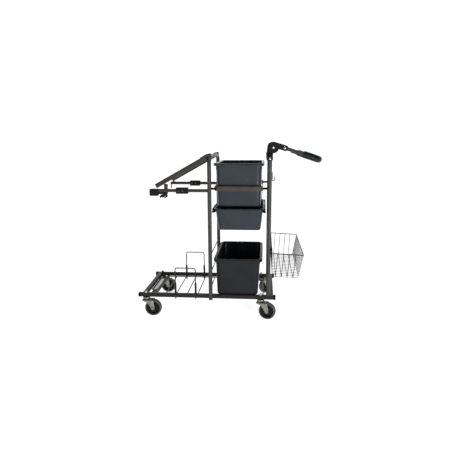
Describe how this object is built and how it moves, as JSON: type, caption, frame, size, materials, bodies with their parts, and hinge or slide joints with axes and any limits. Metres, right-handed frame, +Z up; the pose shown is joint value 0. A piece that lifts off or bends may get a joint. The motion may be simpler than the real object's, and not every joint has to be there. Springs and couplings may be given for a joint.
{
  "type": "housekeeping cart",
  "caption": "Tubular steel housekeeping cart on swivel casters, with stacked bins, an open bag frame, a side wire basket, lift-out guard loops and a folding push bow.",
  "frame": {"origin": "on the floor, below the middle of the bounding box", "axes": "+X along the cart from the bag frame to the push bow, +Y from its front to its back, +Z up"},
  "size_m": [1.06, 0.568, 1.027],
  "materials": {
    "frame_coat": "satin dark warm grey powder coat",
    "wire_coat": "satin grey powder coat on round wire",
    "bright_steel": "bright plated screws and hook",
    "zinc": "zinc-plated pressed steel",
    "basket_wire": "bright zinc-plated wire",
    "black_plastic": "moulded black nylon with a fine grain",
    "grip_rubber": "matt black ribbed grip sleeve",
    "slate_bin": "semi-gloss slate blue-grey moulding",
    "charcoal_bin": "satin charcoal moulding",
    "wheel_core": "black moulded wheel core",
    "grey_tyre": "non-marking grey tyre"
  },
  "bodies": {
    "frame": {"base_rail_front": "frame_coat", "base_rail_rear": "frame_coat", "base_cross_left": "frame_coat", "base_cross_right": "frame_coat", "caster_brace": "frame_coat", "mid_hoop": "frame_coat", "hoop_rod_upper": "frame_coat", "hoop_rod_lower": "frame_coat", "handle_post_front": "frame_coat", "handle_post_rear": "frame_coat", "post_cross_tube": "frame_coat", "bin_cradle": "frame_coat", "tray_runner_left": "frame_coat", "tray_runner_right": "frame_coat", "bag_arm_front": "frame_coat", "bag_arm_rear": "frame_coat", "bag_stay_front": "frame_coat", "bag_stay_rear": "frame_coat", "deck_grid": "wire_coat", "guard_socket_front_left": "wire_coat", "guard_socket_front_right": "wire_coat", "guard_socket_rear_left": "wire_coat", "guard_socket_rear_right": "wire_coat", "joint_base_front": "black_plastic", "joint_base_rear": "black_plastic", "arm_coupling_front": "black_plastic", "arm_coupling_rear": "black_plastic", "tool_clip_body": "black_plastic", "pivot_bolt_front": "bright_steel", "pivot_bolt_rear": "bright_steel", "post_hook": "bright_steel", "caster_cup_front_left": "zinc", "caster_cup_front_right": "zinc", "caster_cup_rear_left": "zinc", "caster_cup_rear_right": "zinc"},
    "handle": {"joint_arm_front": "black_plastic", "joint_arm_rear": "black_plastic", "slide_tube_front": "frame_coat", "slide_tube_rear": "frame_coat"},
    "push_bow": {"handle_bow": "frame_coat", "handle_grip": "grip_rubber"},
    "top_bin": {"top_bin": "slate_bin"},
    "middle_tray": {"middle_tray": "slate_bin"},
    "lower_bin": {"lower_bin": "charcoal_bin"},
    "guard_front": {"guard_loop_front": "wire_coat"},
    "guard_rear": {"guard_loop_rear": "wire_coat"},
    "basket": {"wire_basket": "basket_wire"},
    "clip_jaw": {"tool_clip_jaw": "black_plastic"},
    "fork_front_left": {"caster_fork_front_left": "zinc"},
    "wheel_front_left": {"wheel_core_front_left": "wheel_core", "tyre_front_left": "grey_tyre"},
    "fork_front_right": {"caster_fork_front_right": "zinc"},
    "wheel_front_right": {"wheel_core_front_right": "wheel_core", "tyre_front_right": "grey_tyre"},
    "fork_rear_left": {"caster_fork_rear_left": "zinc"},
    "wheel_rear_left": {"wheel_core_rear_left": "wheel_core", "tyre_rear_left": "grey_tyre"},
    "fork_rear_right": {"caster_fork_rear_right": "zinc"},
    "wheel_rear_right": {"wheel_core_rear_right": "wheel_core", "tyre_rear_right": "grey_tyre"}
  },
  "joints": [
    {"name": "handle_tilt", "type": "hinge", "parent": "frame", "child": "handle", "pos_m": [0.26148, 0, 0.996], "axis": [0, 1, 0], "range_deg": [-75, 55]},
    {"name": "handle_telescope", "type": "slide", "parent": "handle", "child": "push_bow", "axis": [0.9489, 0, -0.3156], "range_m": [-0.04, 0.025]},
    {"name": "top_bin_lift", "type": "slide", "parent": "frame", "child": "top_bin", "axis": [0, 0, 1], "range_m": [0, 0.3]},
    {"name": "middle_tray_slide", "type": "slide", "parent": "frame", "child": "middle_tray", "axis": [0, -1, 0], "range_m": [0, 0.35]},
    {"name": "lower_bin_slide", "type": "slide", "parent": "frame", "child": "lower_bin", "axis": [0, -1, 0], "range_m": [0, 0.45]},
    {"name": "guard_front_lift", "type": "slide", "parent": "frame", "child": "guard_front", "axis": [0, 0, 1], "range_m": [0, 0.19]},
    {"name": "guard_rear_lift", "type": "slide", "parent": "frame", "child": "guard_rear", "axis": [0, 0, 1], "range_m": [0, 0.19]},
    {"name": "basket_lift", "type": "slide", "parent": "frame", "child": "basket", "axis": [0, 0, 1], "range_m": [0, 0.1]},
    {"name": "clip_jaw_swing", "type": "hinge", "parent": "frame", "child": "clip_jaw", "pos_m": [-0.34203, -0.2343, 0.729], "axis": [0, 1, 0], "range_deg": [-70, 10]},
    {"name": "swivel_front_left", "type": "hinge", "parent": "frame", "child": "fork_front_left", "pos_m": [-0.48502, -0.21, 0.1], "axis": [0, 0, 1], "continuous": true},
    {"name": "swivel_front_right", "type": "hinge", "parent": "frame", "child": "fork_front_right", "pos_m": [0.20097, -0.21, 0.1], "axis": [0, 0, 1], "continuous": true},
    {"name": "swivel_rear_left", "type": "hinge", "parent": "frame", "child": "fork_rear_left", "pos_m": [-0.48502, 0.21, 0.1], "axis": [0, 0, 1], "continuous": true},
    {"name": "swivel_rear_right", "type": "hinge", "parent": "frame", "child": "fork_rear_right", "pos_m": [0.20097, 0.21, 0.1], "axis": [0, 0, 1], "continuous": true},
    {"name": "spin_front_left", "type": "hinge", "parent": "fork_front_left", "child": "wheel_front_left", "pos_m": [-0.44503, -0.21, 0.05], "axis": [0, 1, 0], "continuous": true},
    {"name": "spin_front_right", "type": "hinge", "parent": "fork_front_right", "child": "wheel_front_right", "pos_m": [0.23961, -0.22035, 0.05], "axis": [0.2588, 0.9659, 0], "continuous": true},
    {"name": "spin_rear_left", "type": "hinge", "parent": "fork_rear_left", "child": "wheel_rear_left", "pos_m": [-0.44503, 0.21, 0.05], "axis": [0, 1, 0], "continuous": true},
    {"name": "spin_rear_right", "type": "hinge", "parent": "fork_rear_right", "child": "wheel_rear_right", "pos_m": [0.22876, 0.23877, 0.05], "axis": [-0.7193, 0.6947, 0], "continuous": true}
  ]
}
